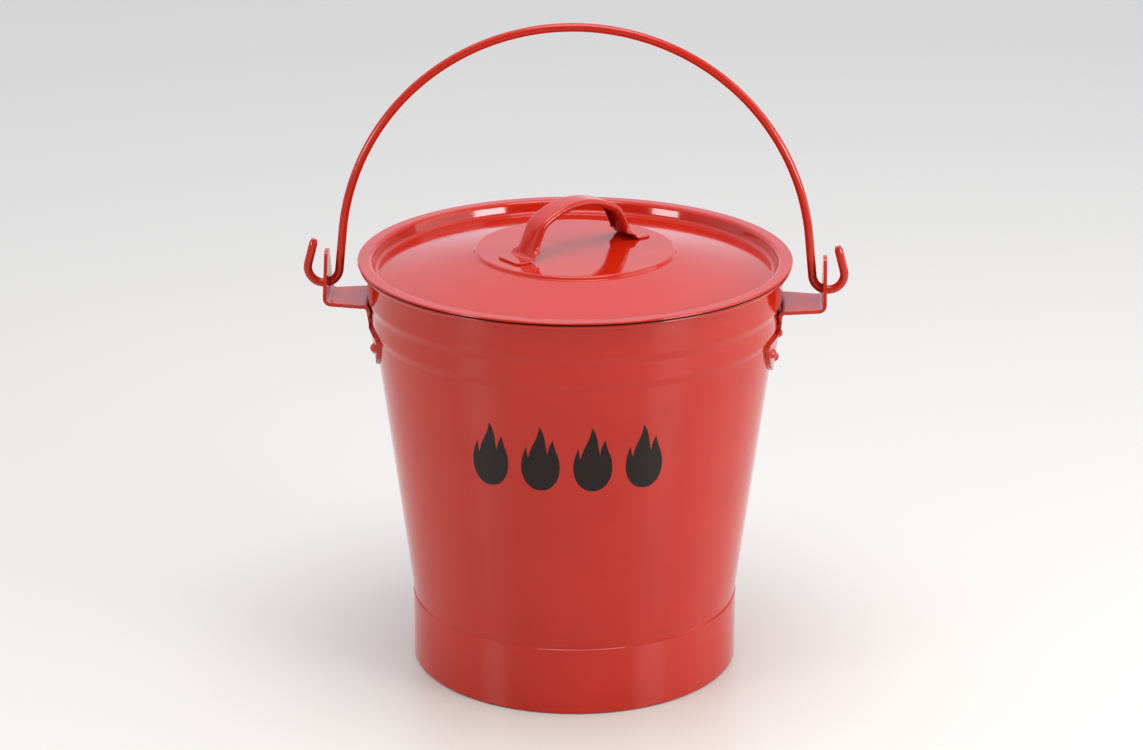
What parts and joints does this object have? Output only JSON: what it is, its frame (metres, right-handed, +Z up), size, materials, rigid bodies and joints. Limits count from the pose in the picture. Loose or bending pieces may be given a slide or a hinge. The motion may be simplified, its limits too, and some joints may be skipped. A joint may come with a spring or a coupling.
{
  "type": "fire bucket",
  "caption": "Lidded fire bucket of painted sheet steel with riveted ears, a swinging wire bail and a lift-off lid with a strap handle.",
  "frame": {"origin": "centre of the foot, on the floor", "axes": "+Z up; the ears and the bail's pivots lie along X; the front faces -Y and the lapped seam +Y"},
  "size_m": [0.377, 0.3, 0.4573],
  "materials": {
    "red_enamel": "gloss",
    "wire_enamel": "satin",
    "rim_steel": "plain"
  },
  "bodies": {
    "bucket": {"bucket_wall": "red_enamel", "rim_wire": "rim_steel", "bucket_bottom": "red_enamel", "foot_band": "red_enamel", "ear_left": "red_enamel", "ear_right": "red_enamel", "rivet_left_upper": "red_enamel", "rivet_left_lower": "red_enamel", "rivet_left_front": "red_enamel", "rivet_left_back": "red_enamel", "rivet_right_upper": "red_enamel", "rivet_right_lower": "red_enamel", "rivet_right_front": "red_enamel", "rivet_right_back": "red_enamel"},
    "lid": {"lid_pan": "red_enamel", "lid_handle": "red_enamel"},
    "bail": {"bail": "wire_enamel"}
  },
  "joints": [
    {"name": "bail_swing", "type": "hinge", "parent": "bucket", "child": "bail", "pos_m": [0, 0, 0.2723], "axis": [1, 0, 0], "range_deg": [-104, 104]},
    {"name": "lid_lift", "type": "slide", "parent": "bucket", "child": "lid", "axis": [0, 0, 1], "range_m": [0, 0.036]}
  ]
}
